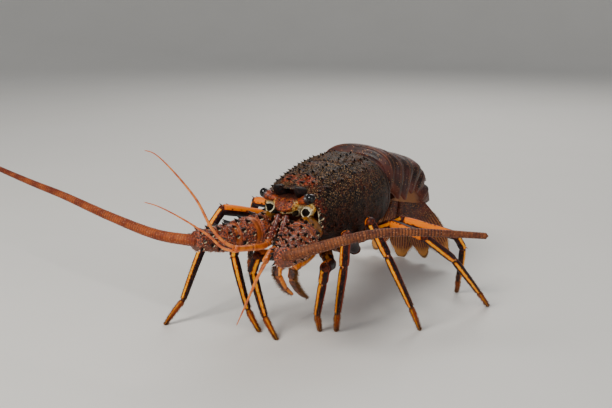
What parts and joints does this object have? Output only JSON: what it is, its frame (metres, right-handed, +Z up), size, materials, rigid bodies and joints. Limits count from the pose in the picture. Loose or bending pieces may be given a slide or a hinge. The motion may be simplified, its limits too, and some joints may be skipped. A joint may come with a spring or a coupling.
{
  "type": "spiny lobster",
  "caption": "Spiny lobster standing on its legs, with forward horns, stalked eyes, stout spiny antenna bases, long antennae, curled abdomen and hanging tail fan.",
  "frame": {"origin": "middle of the bounding box in X and Y, on the floor at the soles of the feet", "axes": "+X to the animal's left, +Y towards its tail, +Z up"},
  "size_m": [0.5872, 0.3322, 0.1498],
  "materials": {
    "carapace": "dark olive-brown shell, dusty",
    "sternum": "satin shell",
    "mouthparts": "satin shell, orange-brown",
    "face_plate": "satin orange-brown shell",
    "horns": "satin dark brown shell",
    "eyes": "glossy black",
    "antenna_bases": "dusky red satin shell",
    "antennae": "orange-brown ringed shell",
    "antennules": "orange, thin shell",
    "legs": "dark shell with bright orange stripes",
    "abdomen": "dark red-brown shell",
    "tail_fan": "red-brown, leathery towards its edge"
  },
  "bodies": {
    "root": {"abdomen_1": "abdomen", "abdomen_2": "abdomen", "abdomen_3": "abdomen", "abdomen_4": "abdomen", "abdomen_5": "abdomen", "abdomen_6": "abdomen", "antenna_left_1": "antenna_bases", "antenna_left_2": "antenna_bases", "antenna_left_3": "antenna_bases", "antenna_right_1": "antenna_bases", "antenna_right_2": "antenna_bases", "antenna_right_3": "antenna_bases", "antennular_plate": "face_plate", "antennule_left": "antennules", "antennule_left_inner": "antennules", "antennule_left_outer": "antennules", "antennule_right": "antennules", "antennule_right_inner": "antennules", "antennule_right_outer": "antennules", "carapace": "carapace", "eye_left": "eyes", "eye_right": "eyes", "horn_left": "horns", "horn_right": "horns", "leg_left_1_lower": "legs", "leg_left_1_upper": "legs", "leg_left_2_lower": "legs", "leg_left_2_upper": "legs", "leg_left_3_lower": "legs", "leg_left_3_upper": "legs", "leg_left_4_lower": "legs", "leg_left_4_upper": "legs", "leg_left_5_lower": "legs", "leg_left_5_upper": "legs", "leg_right_1_lower": "legs", "leg_right_1_upper": "legs", "leg_right_2_lower": "legs", "leg_right_2_upper": "legs", "leg_right_3_lower": "legs", "leg_right_3_upper": "legs", "leg_right_4_lower": "legs", "leg_right_4_upper": "legs", "leg_right_5_lower": "legs", "leg_right_5_upper": "legs", "maxilliped_left": "mouthparts", "maxilliped_right": "mouthparts", "mouth": "mouthparts", "sternum": "sternum", "telson": "tail_fan", "uropod_left_inner": "tail_fan", "uropod_left_outer": "tail_fan", "uropod_right_inner": "tail_fan", "uropod_right_outer": "tail_fan", "whip_left": "antennae", "whip_right_1": "antennae", "whip_right_2": "antennae"}
  },
  "joints": []
}
